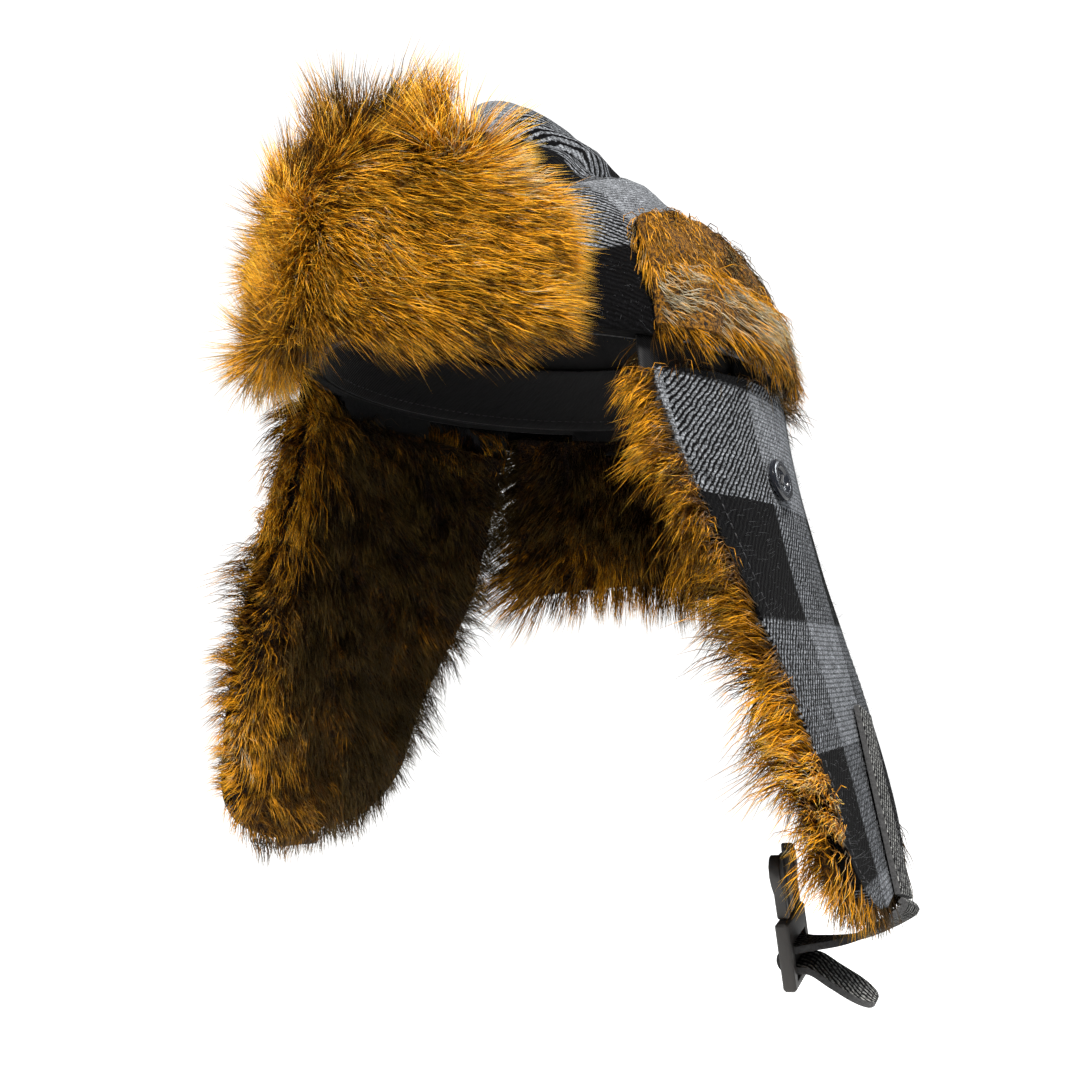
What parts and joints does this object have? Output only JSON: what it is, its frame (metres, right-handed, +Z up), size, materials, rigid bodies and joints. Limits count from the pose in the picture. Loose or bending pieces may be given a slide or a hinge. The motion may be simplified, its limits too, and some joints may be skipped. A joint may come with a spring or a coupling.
{
  "type": "trapper hat",
  "caption": "Buffalo-check wool trapper hat with a folded-up fur visor, fur cuff, fur-lined ear flaps and neck flap, and a chin strap with a side-release buckle.",
  "frame": {"origin": "centre of the head opening at the brow line", "axes": "+Z up, -Y the way the wearer looks, +X the wearer's left"},
  "size_m": [0.2702, 0.2389, 0.3401],
  "materials": {
    "plaid_wool": "brushed wool twill in a black and grey buffalo check",
    "golden_fur": "long-pile faux fur, golden brown with dark and grey tips",
    "quilted_lining": "black quilted satin",
    "wadding": "matt polyester wadding",
    "stiffener": "stiff buckram",
    "buckle_plastic": "moulded black acetal",
    "button_plastic": "polished black",
    "thread": "black sewing thread"
  },
  "bodies": {
    "crown": {"crown_left_panel": "plaid_wool", "crown_center_panel": "plaid_wool", "crown_right_panel": "plaid_wool", "crown_wadding": "wadding", "crown_lining": "quilted_lining", "headband": "quilted_lining", "cuff_backing": "plaid_wool", "cuff_fur": "golden_fur"},
    "visor": {"visor_facing": "plaid_wool", "visor_stiffener": "stiffener", "visor_fur": "golden_fur"},
    "left_flap": {"left_flap_shell": "plaid_wool", "left_flap_wadding": "wadding", "left_flap_fur": "golden_fur", "left_button": "button_plastic", "left_button_thread": "thread", "left_strap_sewn": "plaid_wool"},
    "right_flap": {"right_flap_shell": "plaid_wool", "right_flap_wadding": "wadding", "right_flap_fur": "golden_fur", "right_button": "button_plastic", "right_button_thread": "thread", "right_strap_sewn": "plaid_wool"},
    "neck_flap": {"neck_flap_shell": "plaid_wool", "neck_flap_wadding": "wadding", "neck_flap_fur": "golden_fur"},
    "left_strap": {"left_strap_free": "plaid_wool"},
    "male_buckle": {"male_buckle_frame": "buckle_plastic", "male_buckle_tongue": "buckle_plastic"},
    "prong_a": {"buckle_prong_a": "buckle_plastic"},
    "prong_b": {"buckle_prong_b": "buckle_plastic"},
    "right_strap": {"right_strap_free": "plaid_wool"},
    "female_buckle": {"female_buckle": "buckle_plastic"}
  },
  "joints": [
    {"name": "visor_fold", "type": "hinge", "parent": "crown", "child": "visor", "pos_m": [0, -0.098, -0.002], "axis": [1, 0, 0], "range_deg": [0, 120]},
    {"name": "left_flap_fold", "type": "hinge", "parent": "crown", "child": "left_flap", "pos_m": [0.105, 0, 0], "axis": [0, -1, 0], "range_deg": [-12, 150]},
    {"name": "right_flap_fold", "type": "hinge", "parent": "crown", "child": "right_flap", "pos_m": [-0.105, 0, 0], "axis": [0, 1, 0], "range_deg": [-12, 150]},
    {"name": "neck_flap_fold", "type": "hinge", "parent": "crown", "child": "neck_flap", "pos_m": [0, 0.117, 0], "axis": [1, 0, 0], "range_deg": [0, 140]},
    {"name": "left_strap_swing", "type": "hinge", "parent": "left_flap", "child": "left_strap", "pos_m": [0.14402, 0.00411, -0.18165], "axis": [0, -0.9683, 0.2499], "range_deg": [0, 90]},
    {"name": "male_buckle_swing", "type": "hinge", "parent": "left_strap", "child": "male_buckle", "pos_m": [0.112, -0.012, -0.2], "axis": [0.1012, -0.9916, -0.0809], "range_deg": [0, 25]},
    {"name": "prong_a_flex", "type": "hinge", "parent": "male_buckle", "child": "prong_a", "pos_m": [0.1111, -0.02191, -0.18718], "axis": [-0.9864, -0.0894, -0.1381], "range_deg": [0, 5], "stiffness_Nm_per_rad": 0.02},
    {"name": "prong_b_flex", "type": "hinge", "parent": "male_buckle", "child": "prong_b", "pos_m": [0.10934, -0.00466, -0.18577], "axis": [-0.9864, -0.0894, -0.1381], "range_deg": [-5, 0], "stiffness_Nm_per_rad": 0.02},
    {"name": "right_strap_swing", "type": "hinge", "parent": "right_flap", "child": "right_strap", "pos_m": [-0.11581, 0.00412, -0.18808], "axis": [0, -0.9683, 0.2499], "range_deg": [0, 105]},
    {"name": "female_buckle_swing", "type": "hinge", "parent": "right_strap", "child": "female_buckle", "pos_m": [-0.11805, 0.01066, -0.13799], "axis": [-0.065, -0.9979, 0.0073], "range_deg": [-4, 25]}
  ],
  "couplings": [
    {"joint": "prong_b_flex", "follows": "prong_a_flex", "ratio": -1}
  ]
}
